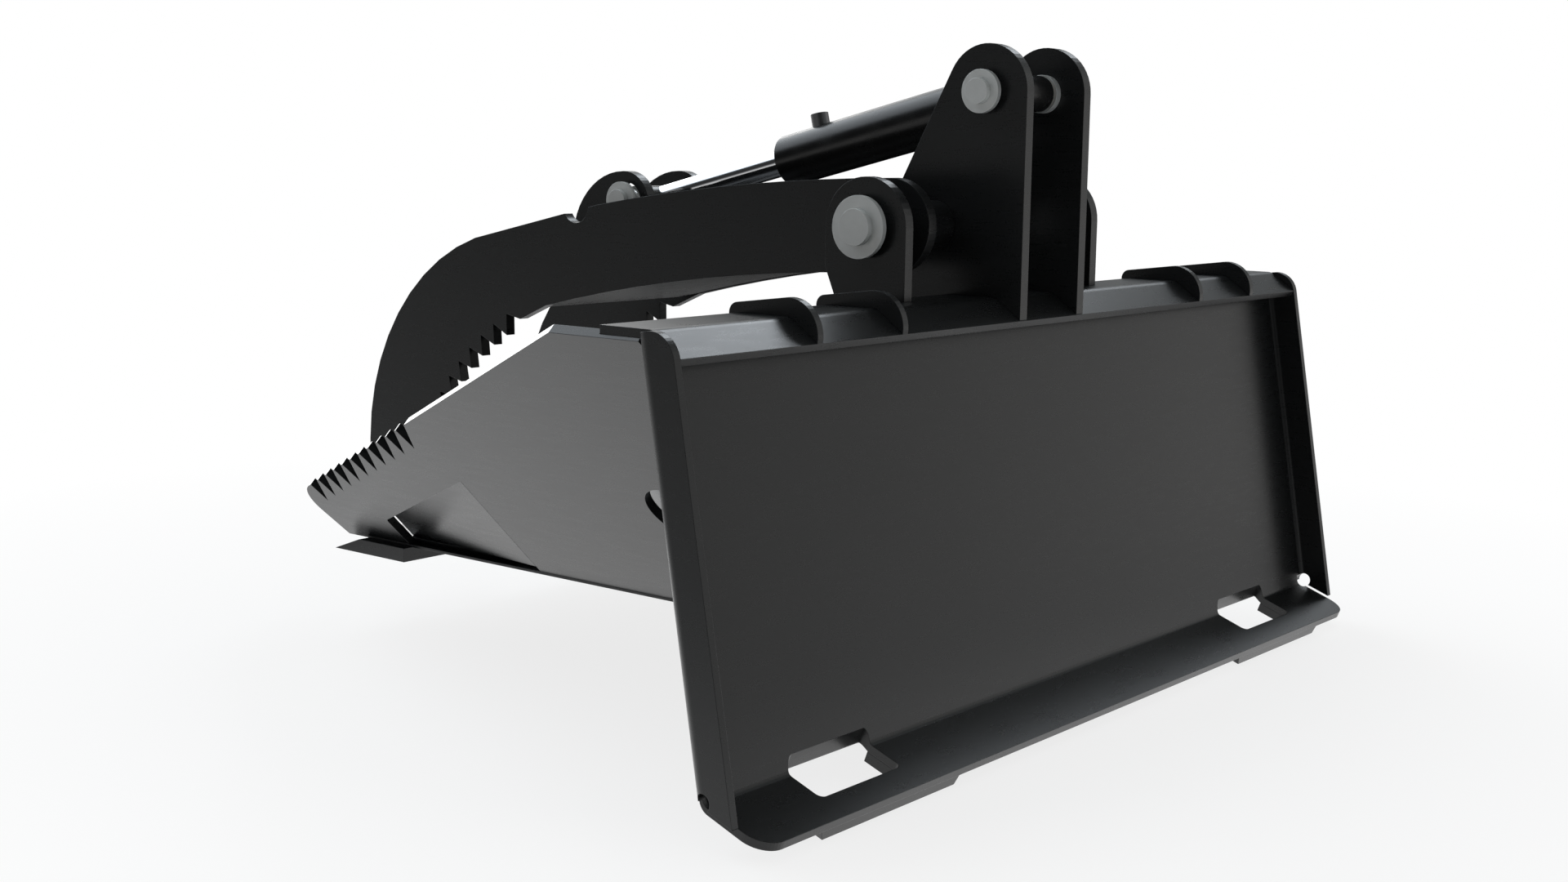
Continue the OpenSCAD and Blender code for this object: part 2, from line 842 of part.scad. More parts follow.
// Cross plate between the arm plates, just inside their lower edge
cross_inset = 1;
cross_rear_y = 360;
cross_front_y = 612;
cross_top_r = arm_low_r + cross_inset + cross_t;
module cross_body() {
    plate_x(-arm_in_x, arm_in_x, concat(
        arc(arm_low_centre, arm_low_r + cross_inset, low_turn(cross_rear_y), low_turn(cross_front_y)),
        arc(arm_low_centre, cross_top_r, low_turn(cross_front_y), low_turn(cross_rear_y))
    ));
}

module arm_cross_plate() {
    color(paint)
        cross_body();
}

// Lug on the cross plate, with room round the rod pin
module rod_lug(side) {
    foot_len = 118;
    rear_centre = rod_pin_at + [5, -5];
    front_centre = rear_centre + [0, rod_lug_r - rod_lug_front_r];
    front_y = cross_front_y - 6;
    rear_y = front_y - foot_len;
    foot_r = cross_top_r - cross_t / 2;
    color(paint)
        on_side(side)
            difference() {
                plate_x(rod_lug_in_x, rod_lug_out_x, concat(
                    arc(rear_centre, rod_lug_r, 190, 90),
                    arc(front_centre, rod_lug_front_r, 89, 0),
                    arc(arm_low_centre, foot_r, low_turn(front_y), low_turn(rear_y))
                ));
                cross_body();
                bar_x(rod_lug_in_x - over, rod_lug_out_x + over, rod_pin_at, cyl_pin_d + 2 * rod_pin_room);
            }
}

// Frame of the cylinder: origin on the base pin, Y along the rod
module cylinder_frame() {
    translate([0, base_pin_y, base_pin_z])
        rotate([cyl_angle, 0, 0])
            children();
}

// Round bar along the cylinder's axis
module bar_y(y0, y1, d) {
    translate([0, y0, 0])
        rotate([-90, 0, 0])
            cylinder(h = y1 - y0, d = d);
}

module ring_y(y0, y1, d_out, d_in) {
    difference() {
        bar_y(y0, y1, d_out);
        bar_y(y0 - over, y1 + over, d_in);
    }
}

bore_d = barrel_d - 2 * barrel_wall;
port_drill_d = 12;

module port_drill(y) {
    translate([0, y, 0])
        cylinder(h = barrel_d, d = port_drill_d);
}

module barrel_tube() {
    color(barrel_paint)
        cylinder_frame()
            difference() {
                ring_y(base_cap_end, barrel_end, barrel_d, bore_d);
                port_drill(port_base_y);
                port_drill(port_rod_y);
            }
}

// Solid base end of the barrel, hollowed to sit on the cross tube
module base_cap() {
    cap_start = 10;
    color(barrel_paint)
        cylinder_frame()
            difference() {
                bar_y(cap_start, base_cap_end, barrel_d);
                bar_x(-barrel_d, barrel_d, [0, 0], eye_d);
            }
}

// Cross tube on the base pin
eye_bore_d = cyl_pin_d + 2 * (run_gap + bush_t);
module base_eye() {
    color(barrel_paint)
        ring_x(-eye_half_len, eye_half_len, base_pin_at, eye_d, eye_bore_d);
}

module base_eye_bush() {
    color(bronze)
        ring_x(-eye_half_len, eye_half_len, base_pin_at, eye_bore_d, cyl_pin_d + 2 * run_gap);
}

// Spacer rings between the cross tube and the masts
module base_spacers() {
    spacer_rim = 2.2;
    color(zinc)
        for (side = [-1, 1])
            on_side(side)
                ring_x(mast_in_x - spacer_t, mast_in_x, base_pin_at, eye_d + spacer_rim, cyl_pin_d);
}

// Gland in the barrel's rod end, with grooves for the seal and the wiper
seal_d = rod_d + 8;
seal_from = barrel_end - 26;
seal_len = 6;
wiper_from = barrel_end - 8;
wiper_len = 5;
module gland() {
    color(bare_steel)
        cylinder_frame()
            difference() {
                ring_y(barrel_end - gland_len, barrel_end, bore_d, rod_d + 2 * run_gap);
                bar_y(seal_from, seal_from + seal_len, seal_d);
                bar_y(wiper_from, wiper_from + wiper_len, seal_d);
            }
}

module rod_seal() {
    color(seal_black)
        cylinder_frame()
            ring_y(seal_from, seal_from + seal_len, seal_d, rod_d + 2 * run_gap);
}

module rod_wiper() {
    color(seal_black)
        cylinder_frame()
            ring_y(wiper_from, wiper_from + wiper_len, seal_d, rod_d + 2 * run_gap);
}

// Threaded boss for a hydraulic fitting
module port_boss(y) {
    color(bare_steel)
        cylinder_frame()
            difference() {
                translate([0, y, 0])
                    cylinder(h = barrel_d / 2 + port_h, d = port_d);
                bar_y(y - port_d, y + port_d, barrel_d);
                translate([0, y, 0])
                    cylinder(h = barrel_d, d = port_bore_d);
            }
}

module port_boss_base() {
    port_boss(port_base_y);
}

module port_boss_rod() {
    port_boss(port_rod_y);
}

// Piston, short of the rod-end port when the arm is closed
piston_front = port_rod_y - port_d / 2 - 6;
piston_rear = piston_front - piston_len;
stud_d = rod_d - 8;
nut_len = 14;
nut_r = 17;
module piston_rod() {
    color(chrome)
        cylinder_frame()
            difference() {
                union() {
                    bar_y(piston_front, cyl_len, rod_d);
                    bar_y(piston_rear - nut_len - 2, piston_front + over, stud_d);
                }
                bar_x(-barrel_d, barrel_d, [cyl_len, 0], rod_eye_d);
            }
}

piston_seal_len = 6;
piston_seal_from = piston_rear + (piston_len - piston_seal_len) / 2;
piston_groove_d = bore_d - 8;
module piston() {
    color(bare_steel)
        cylinder_frame()
            difference() {
                ring_y(piston_rear, piston_front, bore_d - 2 * run_gap, stud_d);
                ring_y(piston_seal_from, piston_seal_from + piston_seal_len, bore_d + over, piston_groove_d);
            }
}

module piston_seal() {
    color(seal_black)
        cylinder_frame()
            ring_y(piston_seal_from, piston_seal_from + piston_seal_len, bore_d - 2 * run_gap, piston_groove_d);
}

module piston_nut() {
    color(bare_steel)
        cylinder_frame()
            difference() {
                translate([0, piston_rear - nut_len, 0])
                    rotate([-90, 0, 0])
                        cylinder(h = nut_len, r = nut_r, $fn = 6);
                bar_y(piston_rear - nut_len - over, piston_rear + over, stud_d);
            }
}

// Cross tube on the rod pin
module rod_eye() {
    color(barrel_paint)
        ring_x(-eye_half_len, eye_half_len, rod_pin_at, rod_eye_d, cyl_pin_d);
}

// Spacer rings between the cross tube and the rod lugs
module rod_spacers() {
    color(zinc)
        for (side = [-1, 1])
            on_side(side)
                ring_x(eye_half_len, rod_lug_in_x - side_gap, rod_pin_at, rod_eye_d, cyl_pin_d);
}

module rod_pin() {
    color(zinc)
        bar_x(-rod_lug_out_x - pin_end, rod_lug_out_x + pin_end, rod_pin_at, cyl_pin_d);
}

module rod_pin_washers() {
    color(zinc)
        for (side = [-1, 1])
            on_side(side)
                end_washer(rod_lug_out_x, rod_pin_at, cyl_washer_d, cyl_pin_d);
}

back_plate();
hook_plate();
slot_pad(-1);  // slot_pad_left
slot_pad(1);  // slot_pad_right
hook_rib(0);  // hook_rib_1
hook_rib(1);  // hook_rib_2
hook_rib(2);  // hook_rib_3
hook_rib(3);  // hook_rib_4
mast_plate(-1);  // mast_plate_left
mast_plate(1);  // mast_plate_right
pivot_lug(-1);  // pivot_lug_left
pivot_lug(1);  // pivot_lug_right
side_plate(-1);  // side_plate_left
side_plate(1);  // side_plate_right
corner_panel(-1);  // corner_panel_left
corner_panel(1);  // corner_panel_right
floor_plate();
cutting_edge();
arm_pivot_pins();
pivot_pin_washers();
base_pin();
base_pin_washers();
arm_plate(-1);  // arm_plate_left
arm_plate(1);  // arm_plate_right
arm_hub(-1);  // arm_hub_left
arm_hub(1);  // arm_hub_right
arm_bushes();
arm_cross_plate();
rod_lug(-1);  // rod_lug_left
rod_lug(1);  // rod_lug_right
barrel_tube();
base_cap();
base_eye();
base_eye_bush();
base_spacers();
gland();
rod_seal();
rod_wiper();
port_boss_base();
port_boss_rod();
piston_rod();
piston();
piston_seal();
piston_nut();
rod_eye();
rod_spacers();
rod_pin();
rod_pin_washers();
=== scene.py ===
"""Looks of the stump grapple: finishes of its plates, pins and cylinder, and the studio round it."""

import bpy
from bpy.props import FloatProperty, FloatVectorProperty, PointerProperty
from mathutils import Matrix, Vector


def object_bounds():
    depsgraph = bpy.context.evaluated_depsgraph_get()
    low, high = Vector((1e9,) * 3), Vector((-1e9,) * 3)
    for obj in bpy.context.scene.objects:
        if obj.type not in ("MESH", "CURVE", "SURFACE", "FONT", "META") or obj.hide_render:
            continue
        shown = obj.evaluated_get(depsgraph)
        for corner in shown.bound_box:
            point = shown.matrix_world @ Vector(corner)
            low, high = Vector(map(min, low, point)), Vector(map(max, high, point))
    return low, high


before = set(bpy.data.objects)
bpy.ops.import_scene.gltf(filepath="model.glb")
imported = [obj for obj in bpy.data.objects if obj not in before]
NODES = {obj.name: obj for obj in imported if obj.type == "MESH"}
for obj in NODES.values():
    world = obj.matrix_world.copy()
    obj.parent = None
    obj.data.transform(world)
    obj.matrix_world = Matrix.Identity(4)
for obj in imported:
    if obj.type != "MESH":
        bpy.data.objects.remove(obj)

bl_info = {
    "name": "Stump grapple looks",
    "version": (1, 0, 0),
    "blender": (4, 5, 0),
    "location": "3D View > Sidebar > Stump grapple",
    "description": "Finishes of a stump bucket with a grapple arm, and a studio round it",
    "category": "Object",
}

CAD_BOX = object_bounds()

# The photograph's camera: its place and the directions of its three axes
CAMERA_PLACE = (-1.736216, -1.057332, 0.173434)
CAMERA_RIGHT = (0.630707, -0.775886, 0.014497)
CAMERA_UP = (0.106549, 0.105087, 0.988739)
CAMERA_BACK = (-0.768672, -0.622060, 0.148949)
SENSOR_WIDTH = 36  # millimetres

PLATES = [
    "back_plate", "hook_plate", "slot_pad_left", "slot_pad_right",
    "hook_rib_1", "hook_rib_2", "hook_rib_3", "hook_rib_4",
    "mast_plate_left", "mast_plate_right", "pivot_lug_left", "pivot_lug_right",
    "side_plate_left", "side_plate_right", "corner_panel_left", "corner_panel_right",
    "floor_plate", "cutting_edge", "arm_plate_left", "arm_plate_right",
    "arm_hub_left", "arm_hub_right", "arm_cross_plate", "rod_lug_left", "rod_lug_right",
]
CYLINDER_PAINTED = ["barrel_tube", "base_cap", "base_eye", "rod_eye"]
CHROMED = ["piston_rod"]
ZINC_PLATED = [
    "arm_pivot_pins", "pivot_pin_washers", "base_pin", "base_pin_washers",
    "base_spacers", "rod_spacers", "rod_pin", "rod_pin_washers",
]
TURNED = ["gland", "piston", "piston_nut"]
BOSSES = ["port_boss_base", "port_boss_rod"]
BRONZE = ["arm_bushes", "base_eye_bush"]
SEALS = ["rod_seal", "rod_wiper", "piston_seal"]

WHITE = (1.0, 1.0, 1.0)

# Range that most values of a noise lie in
NOISE_RANGE = (0.3, 0.7)
# An edge is where the rounded normal leaves the flat one: samples, and cosines of full edge and none
BEVEL_SAMPLES = 6
EDGE_COSINES = (0.8, 0.99)
# What scuffs and orange peel take from the powder coat's roughness, and what they add to it
SCUFF_ROUGHNESS = (-0.015, 0.025)
PEEL_ROUGHNESS = (-0.01, 0.01)
# Amounts by which the powder coat's edges are rubbed, and the values of the scuffs between which they go
RUBBED_AMOUNTS = (0.15, 0.75)
RUBBED_SCUFFS = (0.4, 0.65)
# How many times paler than the rest an edge is
RUBBED_PAINT_EDGE = 3.2
GLOSS_EDGE = 3
ZINC_EDGE = 1.3
STEEL_EDGE = 1.3
BRONZE_EDGE = 1.4
# Edges of plated and of turned parts are sharper: shares of the plates' edge radius
PLATED_RADIUS = 0.6
TURNED_RADIUS = 0.5

# Sockets of the Mix node, which has several of each name
MIX_FLOATS = (2, 3)
MIX_COLORS = (6, 7)
MIX_COLOR_RESULT = 2

# Floor: sides of its outline, gap below the object and place of its middle, in metres
FLOOR_SIDES = 96
FLOOR_GAP = 0.0005
FLOOR_MIDDLE_Y = 0.35
# Glow's share of the floor: the first up to GLOW_START metres from its middle, the second from GLOW_END
# times its radius; the rest is matt and takes the object's shadow
GLOW_SHARES = (0.8, 1.0)
GLOW_START = 0.6
GLOW_END = 0.6
# Reflections see the floor's painted glow at its near brightness up to the first distance in metres, and
# at its far brightness from the second
MIRRORED_DISTANCES = (0.6, 1.1)
# Painted dark patch in the floor's glow beyond the object, which only reflections see: its direction,
# the distances in metres between which its soft edge lies, and the share of the glow that it leaves
FLOOR_DARK_PATCH_TOWARDS = (0.78, 0.62, 0)
FLOOR_DARK_PATCH_EDGE = (0.8, 1.3)
FLOOR_DARK_PATCH_LEFT = 0.1

# Soft boxes of the studio: direction, cosines of the outer and the inner edge, brightness, colour
SOFT_BOXES = [
    ((0.74, 0.23, 0.635), (0.974, 0.99), 5.0, (0.88, 0.94, 1.0)),
    ((-0.06, 0.74, 0.67), (0.82, 0.95), 2.3, (0.86, 0.93, 1.0)),
    ((0.42, 0.88, 0.21), (0.93, 0.99), 5.0, WHITE),
    ((0.8, -0.6, 0.05), (0.8, 0.98), 0.48, (1.0, 0.99, 0.97)),
    ((0.66, 0.68, 0.31), (0.972, 0.99), 0.9, WHITE),
]
# Dark cloths of the studio: direction, cosines of the outer and the inner edge, share of light left
DARK_CLOTHS = [
    ((-0.77, 0.62, -0.15), (0.5, 0.95), 0.95),
    ((-0.6, 0.7, 0.42), (0.84, 0.94), 0.15),
    ((0.78, 0.61, -0.16), (0.94, 0.985), 0.12),
    ((-0.77, -0.62, 0.3), (0.75, 0.95), 0.2),
]


class StumpGrappleFinish(bpy.types.PropertyGroup):
    """Colours and gloss of the finishes."""

    paint_color: FloatVectorProperty(
        name="Powder coat", description="Colour of the powder coat on the plates",
        subtype="COLOR", size=3, min=0, max=1, default=(0.012, 0.0125, 0.0128))
    paint_rough: FloatProperty(
        name="Powder coat roughness", description="Roughness of the powder coat",
        subtype="FACTOR", min=0, max=1, default=0.28)
    paint_sheen: FloatProperty(
        name="Powder coat sheen", description="Strength of the powder coat's reflections",
        subtype="FACTOR", min=0, max=1, default=0.36)
    cylinder_color: FloatVectorProperty(
        name="Cylinder paint", description="Colour of the cylinder's gloss paint",
        subtype="COLOR", size=3, min=0, max=1, default=(0.008, 0.008, 0.008))
    zinc_color: FloatVectorProperty(
        name="Zinc", description="Colour of the zinc plated pins and washers",
        subtype="COLOR", size=3, min=0, max=1, default=(0.66, 0.67, 0.66))
    steel_color: FloatVectorProperty(
        name="Turned steel", description="Colour of bare turned steel",
        subtype="COLOR", size=3, min=0, max=1, default=(0.5, 0.5, 0.5))
    boss_color: FloatVectorProperty(
        name="Port bosses", description="Colour of the dark steel of the port bosses",
        subtype="COLOR", size=3, min=0, max=1, default=(0.2, 0.2, 0.205))
    chrome_color: FloatVectorProperty(
        name="Chrome", description="Colour of the rod's hard chrome",
        subtype="COLOR", size=3, min=0, max=1, default=(0.72, 0.73, 0.75))
    bronze_color: FloatVectorProperty(
        name="Bronze", description="Colour of the bronze bushes",
        subtype="COLOR", size=3, min=0, max=1, default=(0.55, 0.38, 0.16))
    edge_radius: FloatProperty(
        name="Edge radius", description="Radius that the paint rounds each sheared edge to",
        subtype="DISTANCE", unit="LENGTH", min=0.0001, max=0.003, default=0.0009)


class StumpGrappleStage(bpy.types.PropertyGroup):
    """Studio round the object."""

    floor_color: FloatVectorProperty(
        name="Floor", description="Colour of the pale floor",
        subtype="COLOR", size=3, min=0, max=1, default=(0.93, 0.93, 0.92))
    floor_radius: FloatProperty(
        name="Floor radius", description="Radius of the round floor",
        subtype="DISTANCE", unit="LENGTH", min=1, max=10, default=2.6)
    lens: FloatProperty(
        name="Lens", description="Focal length of the camera in millimetres",
        min=20, max=120, default=45.762)
    floor_light: FloatProperty(
        name="Light from the floor",
        description="Brightness of the studio's lowest part, and of the floor in reflections",
        min=0, max=4, default=1.45)
    floor_far_light: FloatProperty(
        name="Light from the far floor",
        description="Brightness of the floor away from the object, as reflections see it",
        min=0, max=4, default=0.58)
    wall_light: FloatProperty(
        name="Light from the walls", description="Brightness of the studio's walls at the floor",
        min=0, max=4, default=0.4)
    upper_wall_light: FloatProperty(
        name="Light from the upper walls",
        description="Brightness of the studio's walls above eye level",
        min=0, max=4, default=0.2)
    ceiling_light: FloatProperty(
        name="Light from the ceiling", description="Brightness of the studio's ceiling",
        min=0, max=4, default=0.36)


def scaled(color, factor):
    """A colour made lighter or darker."""
    return tuple(min(1.0, c * factor) for c in color)


class ShaderTree:
    """Nodes of a material or world, with the kinds of node that the looks use."""

    def __init__(self, node_tree):
        self.nodes = node_tree.nodes
        self.links = node_tree.links

    def feed(self, node, inputs):
        """Gives a node its inputs, each a plain value or the socket that it comes from."""
        for key, value in inputs.items():
            if isinstance(value, bpy.types.NodeSocket):
                self.links.new(value, node.inputs[key])
            else:
                node.inputs[key].default_value = value

    def add(self, kind, inputs=None, operation=None):
        """A new node with its inputs and, if it has one, its operation."""
        made = self.nodes.new(kind)
        if operation:
            made.operation = operation
        self.feed(made, inputs or {})
        return made

    def math(self, operation, first, second):
        """Two values made into one."""
        return self.add("ShaderNodeMath", {0: first, 1: second}, operation).outputs["Value"]

    def dot(self, first, second):
        """Dot product of two vectors."""
        return self.add("ShaderNodeVectorMath", {0: first, 1: second}, "DOT_PRODUCT").outputs["Value"]

    def add_light(self, first, second):
        """Sum of two colours."""
        return self.add("ShaderNodeVectorMath", {0: first, 1: second}, "ADD").outputs["Vector"]

    def scale_light(self, light, amount):
        """A colour or a value times an amount."""
        return self.add("ShaderNodeVectorMath", {0: light, "Scale": amount}, "SCALE").outputs["Vector"]

    def place(self, stretch):
        """Object coordinates, each multiplied by its stretch."""
        coordinates = self.add("ShaderNodeTexCoord").outputs["Object"]
        return self.add("ShaderNodeMapping", {"Vector": coordinates, "Scale": stretch}).outputs["Vector"]

    def noise(self, scale, detail, roughness=0.5, stretch=(1, 1, 1)):
        """Noise over the object; returns its value."""
        made = self.add("ShaderNodeTexNoise", {
            "Vector": self.place(stretch), "Scale": scale, "Detail": detail, "Roughness": roughness})
        return made.outputs["Fac"]

    def to_range(self, value, before, after, curve="LINEAR"):
        """Value mapped from the range before to the range after, and kept inside it."""
        made = self.nodes.new("ShaderNodeMapRange")
        made.interpolation_type = curve
        self.feed(made, {
            "Value": value, "From Min": before[0], "From Max": before[1],
            "To Min": after[0], "To Max": after[1]})
        return made.outputs["Result"]

    def blend(self, amount, first, second):
        """Colour between first and second; each is a colour or a socket."""
        made = self.nodes.new("ShaderNodeMix")
        made.data_type = "RGBA"
        self.feed(made, {"Factor": amount})
        for key, value in zip(MIX_COLORS, (first, second)):
            self.feed(made, {key: value if isinstance(value, bpy.types.NodeSocket) else (*value, 1)})
        return made.outputs[MIX_COLOR_RESULT]

    def mottled(self, amount, color, dark, pale):
        """Colour that varies from dark to pale times the given one."""
        return self.blend(amount, scaled(color, dark), scaled(color, pale))

    def edges(self, radius):
        """Normal rounded near edges, and a mask that is 1 on an edge."""
        bevel = self.add("ShaderNodeBevel", {"Radius": radius})
        bevel.samples = BEVEL_SAMPLES
        rounded = bevel.outputs["Normal"]
        flat = self.add("ShaderNodeNewGeometry").outputs["Normal"]
        return rounded, self.to_range(self.dot(rounded, flat), EDGE_COSINES, (1.0, 0.0))

    def bumped(self, height, distance, strength, normal=None):
        """Normal bumped by a height of 0 to 1 times a distance in metres."""
        made = self.add("ShaderNodeBump", {"Height": height, "Distance": distance, "Strength": strength})
        if normal is not None:
            self.feed(made, {"Normal": normal})
        return made.outputs["Normal"]

    def nearness(self, direction, towards, cosines, after):
        """Value that goes softly from the first outside a patch's edge to the second inside it."""
        along = self.dot(direction, Vector(towards).normalized())
        return self.to_range(along, cosines, after, "SMOOTHSTEP")


def new_material(name):
    """An empty material with its tree and its shader."""
    mat = bpy.data.materials.new(name)
    mat.use_nodes = True
    return mat, ShaderTree(mat.node_tree), mat.node_tree.nodes["Principled BSDF"]


def powder_coat(finish):
    """Satin black powder coat: fine orange peel, scuffed gloss, edges rubbed a little paler."""
    mat, tree, shader = new_material("powder_coat")
    patches = tree.noise(scale=6.0, detail=4.0)
    peel = tree.noise(scale=620.0, detail=2.0)
    scuffs = tree.noise(scale=24.0, detail=6.0, roughness=0.62, stretch=(1, 1, 9))
    normal, edge = tree.edges(finish.edge_radius)
    color = tree.mottled(patches, finish.paint_color, dark=0.85, pale=1.18)
    rubbed = tree.math("MULTIPLY", edge, tree.to_range(scuffs, RUBBED_SCUFFS, RUBBED_AMOUNTS))
    scuff_rough = [finish.paint_rough + part for part in SCUFF_ROUGHNESS]
    rough = tree.to_range(scuffs, NOISE_RANGE, scuff_rough)
    tree.feed(shader, {
        "Base Color": tree.blend(rubbed, color, scaled(finish.paint_color, RUBBED_PAINT_EDGE)),
        "Roughness": tree.math("ADD", rough, tree.to_range(peel, NOISE_RANGE, PEEL_ROUGHNESS)),
        "Specular IOR Level": finish.paint_sheen,
        "Normal": tree.bumped(peel, distance=0.00006, strength=0.35, normal=normal)})
    return mat


def gloss_paint(finish):
    """Gloss black paint of the cylinder, a little wavy, with faint dust."""
    mat, tree, shader = new_material("cylinder_gloss_paint")
    dust = tree.noise(scale=35.0, detail=5.0)
    wave = tree.noise(scale=90.0, detail=2.0)
    normal, edge = tree.edges(finish.edge_radius)
    color = tree.mottled(dust, finish.cylinder_color, dark=1, pale=1.7)
    tree.feed(shader, {
        "Base Color": tree.blend(edge, color, scaled(finish.cylinder_color, GLOSS_EDGE)),
        "Roughness": tree.to_range(dust, NOISE_RANGE, (0.2, 0.3)),
        "Specular IOR Level": 0.38,
        "Normal": tree.bumped(wave, distance=0.0001, strength=0.25, normal=normal)})
    return mat


def zinc_plate(finish):
    """Dull zinc plate over turned steel, with cloudy patches."""
    mat, tree, shader = new_material("zinc_plate")
    clouds = tree.noise(scale=70.0, detail=5.0)
    grain = tree.noise(scale=900.0, detail=2.0)
    normal, edge = tree.edges(finish.edge_radius * PLATED_RADIUS)
    color = tree.mottled(clouds, finish.zinc_color, dark=0.9, pale=1.08)
    tree.feed(shader, {
        "Base Color": tree.blend(edge, color, scaled(finish.zinc_color, ZINC_EDGE)),
        "Metallic": 0.4,
        "Roughness": tree.to_range(clouds, NOISE_RANGE, (0.33, 0.43)),
        "Normal": tree.bumped(grain, distance=0.00004, strength=0.3, normal=normal)})
    return mat


def turned_steel(name, steel_color, edge_radius):
    """Turned steel with fine tool marks."""
    mat, tree, shader = new_material(name)
    stain = tree.noise(scale=60.0, detail=4.0)
    marks = tree.noise(scale=260.0, detail=2.0, stretch=(20, 1, 1))
    normal, edge = tree.edges(edge_radius)
    color = tree.mottled(stain, steel_color, dark=0.7, pale=1)
    tree.feed(shader, {
        "Base Color": tree.blend(edge, color, scaled(steel_color, STEEL_EDGE)),
        "Metallic": 1.0,
        "Roughness": tree.to_range(stain, NOISE_RANGE, (0.3, 0.42)),
        "Normal": tree.bumped(marks, distance=0.00003, strength=0.3, normal=normal)})
    return mat


def hard_chrome(finish):
    """Polished hard chrome of the piston rod, with hairline wipe marks along it."""
    mat, tree, shader = new_material("hard_chrome")
    hairs = tree.noise(scale=40.0, detail=4.0, stretch=(40, 1, 40))
    tree.feed(shader, {
        "Base Color": tree.mottled(hairs, finish.chrome_color, dark=0.93, pale=1),
        "Metallic": 1.0,
        "Roughness": tree.to_range(hairs, NOISE_RANGE, (0.05, 0.13)),
        "Normal": tree.bumped(hairs, distance=0.00001, strength=0.15)})
    return mat


def bronze(finish):
    """Bearing bronze, rubbed bright on its edge."""
    mat, tree, shader = new_material("bearing_bronze")
    tarnish = tree.noise(scale=110.0, detail=4.0)
    normal, edge = tree.edges(finish.edge_radius * TURNED_RADIUS)
    color = tree.mottled(tarnish, finish.bronze_color, dark=0.6, pale=1)
    tree.feed(shader, {
        "Base Color": tree.blend(edge, color, scaled(finish.bronze_color, BRONZE_EDGE)),
        "Metallic": 1.0,
        "Roughness": tree.to_range(tarnish, NOISE_RANGE, (0.28, 0.45)),
        "Normal": normal})
    return mat


def seal_rubber(finish):
    """Black polyurethane of the seals, with a faint sheen; its colour follows the cylinder's paint."""
    mat, tree, shader = new_material("seal_polyurethane")
    grain = tree.noise(scale=500.0, detail=2.0)
    tree.feed(shader, {
        "Base Color": tree.mottled(grain, finish.cylinder_color, dark=1.2, pale=2.4),
        "Roughness": tree.to_range(grain, NOISE_RANGE, (0.45, 0.6)),
        "Normal": tree.bumped(grain, distance=0.00005, strength=0.3)})
    return mat


def dress(names, mat):
    """Puts a material in the slots of CAD nodes, which keep their meshes."""
    for name in names:
        piece = NODES[name]
        if not piece.material_slots:
            piece.data.materials.append(mat)
        for held in piece.material_slots:
            held.link = "OBJECT"
            held.material = mat


class STUMP_OT_plate_finish(bpy.types.Operator):
    """Powder coat the welded plates of the bucket, the masts and the arm"""

    bl_idname = "stump.plate_finish"
    bl_label = "Powder coat the plates"

    def execute(self, context):
        dress(PLATES, powder_coat(context.scene.stump_finish))
        return {"FINISHED"}


class STUMP_OT_cylinder_finish(bpy.types.Operator):
    """Paint the cylinder and give its rod, gland, ports and seals their finishes"""

    bl_idname = "stump.cylinder_finish"
    bl_label = "Finish the cylinder"

    def execute(self, context):
        finish = context.scene.stump_finish
        turned_radius = finish.edge_radius * TURNED_RADIUS
        dress(CYLINDER_PAINTED, gloss_paint(finish))
        dress(CHROMED, hard_chrome(finish))
        dress(TURNED, turned_steel("turned_steel", finish.steel_color, turned_radius))
        dress(BOSSES, turned_steel("dark_steel", finish.boss_color, turned_radius))
        dress(SEALS, seal_rubber(finish))
        return {"FINISHED"}


class STUMP_OT_pin_finish(bpy.types.Operator):
    """Give the pins, washers and spacers zinc plate, and the bushes bronze"""

    bl_idname = "stump.pin_finish"
    bl_label = "Finish the pins"

    def execute(self, context):
        finish = context.scene.stump_finish
        dress(ZINC_PLATED, zinc_plate(finish))
        dress(BRONZE, bronze(finish))
        return {"FINISHED"}


def seen_directly(tree, path):
    """1 for rays from the camera, also after they pass through something clear."""
    return tree.math("MAXIMUM", path.outputs["Is Camera Ray"], path.outputs["Is Transmission Ray"])


def floor_material(stage):
    """Pale floor: white with a faint shadow to the camera; in reflections it glows with painted light,
    brighter near the object and darker farther off, with a painted dark patch beyond the object.
    """
    mat, tree, shader = new_material("pale_floor")
    tree.nodes.remove(shader)
    place = tree.add("ShaderNodeTexCoord").outputs["Object"]
    distance = tree.add("ShaderNodeVectorMath", {0: place}, "LENGTH").outputs["Value"]
    path = tree.add("ShaderNodeLightPath")

    # Painted light: in reflections the floor glows, brighter near the object and darker farther off
    painted_glow = tree.to_range(distance, MIRRORED_DISTANCES, (stage.floor_light, stage.floor_far_light))
    # Painted shade: a dark patch in the floor's glow beyond the object, which only reflections see
    beyond = tree.dot(place, FLOOR_DARK_PATCH_TOWARDS)
    painted_dark_patch = tree.to_range(beyond, FLOOR_DARK_PATCH_EDGE, (1.0, FLOOR_DARK_PATCH_LEFT))
    strength = tree.add("ShaderNodeMix", {"Factor": path.outputs["Is Glossy Ray"]})
    tree.feed(strength, dict(zip(MIX_FLOATS, (1.0, tree.scale_light(painted_glow, painted_dark_patch)))))

    glowing = tree.math("MAXIMUM", seen_directly(tree, path), path.outputs["Is Glossy Ray"])
    fade = tree.to_range(distance, (GLOW_START, stage.floor_radius * GLOW_END), GLOW_SHARES)
    matt = tree.add("ShaderNodeBsdfDiffuse", {"Color": (*stage.floor_color, 1)})
    glow = tree.add("ShaderNodeEmission", {"Strength": strength.outputs["Result"]})
    both = tree.add("ShaderNodeMixShader", {
        "Fac": tree.math("MULTIPLY", glowing, fade),
        1: matt.outputs["BSDF"], 2: glow.outputs["Emission"]})
    tree.feed(tree.nodes["Material Output"], {"Surface": both.outputs["Shader"]})
    return mat


